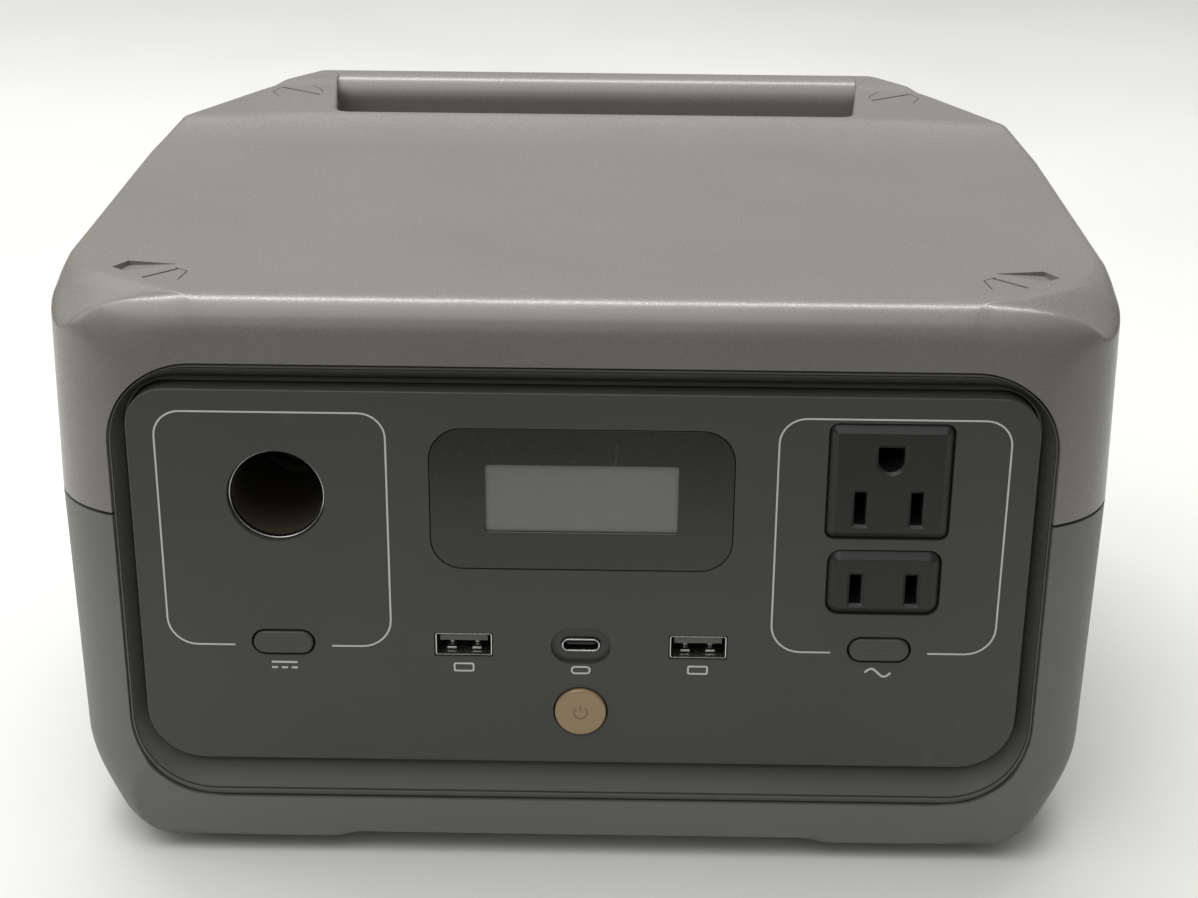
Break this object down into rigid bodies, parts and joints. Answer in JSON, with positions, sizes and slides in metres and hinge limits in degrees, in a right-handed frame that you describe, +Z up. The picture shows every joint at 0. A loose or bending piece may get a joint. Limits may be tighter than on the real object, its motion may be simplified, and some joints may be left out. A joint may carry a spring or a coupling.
{
  "type": "portable power station",
  "caption": "Compact portable power station: two-tone box with a rear grip bar, and a front panel with display, 12 V socket, mains outlets, USB ports and push buttons.",
  "frame": {"origin": "on the ground, under the middle of the body's box", "axes": "+X to the right of the front panel, +Y from the front panel to the grip bar, +Z up"},
  "size_m": [0.245, 0.2144, 0.145],
  "materials": {
    "shell_light": "fine grain, satin, light warm grey",
    "shell_dark": "fine grain, satin, dark grey",
    "seam_rubber": "black",
    "bezel_plastic": "smooth, dark grey",
    "panel_plastic": "fine grain, dark grey",
    "display_cover": "tinted, glossy",
    "display_lcd": "unlit grey",
    "white_plastic": "white",
    "button_gold": "satin champagne",
    "button_dark": "satin dark grey",
    "outlet_plastic": "satin dark grey",
    "black_plastic": "satin black",
    "yellow_plastic": "satin amber",
    "port_steel": "nickel plated",
    "contact_brass": "bare brass",
    "screw_steel": "zinc plated",
    "circuit_board": "green solder mask",
    "heatsink_metal": "extruded",
    "cell_can": "steel can in a blue sleeve",
    "busbar_nickel": "nickel strip",
    "ferrite": "dark grey ferrite",
    "copper_winding": "enamelled copper under amber tape",
    "capacitor_can": "sleeved can",
    "wire_red": "silicone insulation",
    "wire_black": "silicone insulation",
    "foot_rubber": "matte black"
  },
  "bodies": {
    "casing": {"top_shell": "shell_light", "lower_shell": "shell_dark", "seam_gasket": "seam_rubber", "front_bezel": "bezel_plastic", "front_panel": "panel_plastic", "display_window": "display_cover", "lcd_panel": "display_lcd", "backlight_tray": "white_plastic", "button_switches": "screw_steel", "io_board": "circuit_board", "usb_a_left_shell": "port_steel", "usb_a_right_shell": "port_steel", "usb_a_left_tongue": "black_plastic", "usb_a_right_tongue": "black_plastic", "usb_c_shell": "port_steel", "usb_c_tongue": "black_plastic", "car_socket_barrel": "port_steel", "car_socket_housing": "black_plastic", "car_socket_contact": "contact_brass", "three_pin_outlet": "outlet_plastic", "two_pin_outlet": "outlet_plastic", "outlet_contacts": "contact_brass", "rear_panel": "panel_plastic", "ac_inlet": "black_plastic", "ac_inlet_pins": "port_steel", "dc_inlet": "yellow_plastic", "dc_inlet_pins": "contact_brass", "left_vent_grille": "black_plastic", "right_vent_grille": "black_plastic", "intake_fan_frame": "black_plastic", "exhaust_fan_frame": "black_plastic", "battery_cells": "cell_can", "lower_cell_holder": "black_plastic", "upper_cell_holder": "black_plastic", "bottom_busbars": "busbar_nickel", "top_busbars": "busbar_nickel", "bms_board": "circuit_board", "electronics_tray": "black_plastic", "inverter_board": "circuit_board", "left_heatsink": "heatsink_metal", "right_heatsink": "heatsink_metal", "transformer_core": "ferrite", "transformer_winding": "copper_winding", "inductors": "copper_winding", "capacitors": "capacitor_can", "battery_leads": "wire_red", "outlet_leads": "wire_black", "socket_leads": "wire_red", "rubber_feet": "foot_rubber", "case_screws": "screw_steel", "panel_screws": "screw_steel", "board_screws": "screw_steel"},
    "power_button": {"power_button": "button_gold", "power_plunger": "black_plastic"},
    "dc_button": {"dc_button": "button_dark", "dc_plunger": "black_plastic"},
    "ac_button": {"ac_button": "button_dark", "ac_plunger": "black_plastic"},
    "intake_rotor": {"intake_fan_rotor": "black_plastic"},
    "exhaust_rotor": {"exhaust_fan_rotor": "black_plastic"}
  },
  "joints": [
    {"name": "power_button_press", "type": "slide", "parent": "casing", "child": "power_button", "axis": [0, 1, 0], "range_m": [0, 0.0008], "stiffness_N_per_m": 1500},
    {"name": "dc_button_press", "type": "slide", "parent": "casing", "child": "dc_button", "axis": [0, 1, 0], "range_m": [0, 0.0008], "stiffness_N_per_m": 1500},
    {"name": "ac_button_press", "type": "slide", "parent": "casing", "child": "ac_button", "axis": [0, 1, 0], "range_m": [0, 0.0008], "stiffness_N_per_m": 1500},
    {"name": "intake_fan_spin", "type": "hinge", "parent": "casing", "child": "intake_rotor", "pos_m": [-0.1109, -0.015, 0.056], "axis": [1, 0, 0], "continuous": true},
    {"name": "exhaust_fan_spin", "type": "hinge", "parent": "casing", "child": "exhaust_rotor", "pos_m": [0.1109, -0.015, 0.056], "axis": [1, 0, 0], "continuous": true}
  ]
}
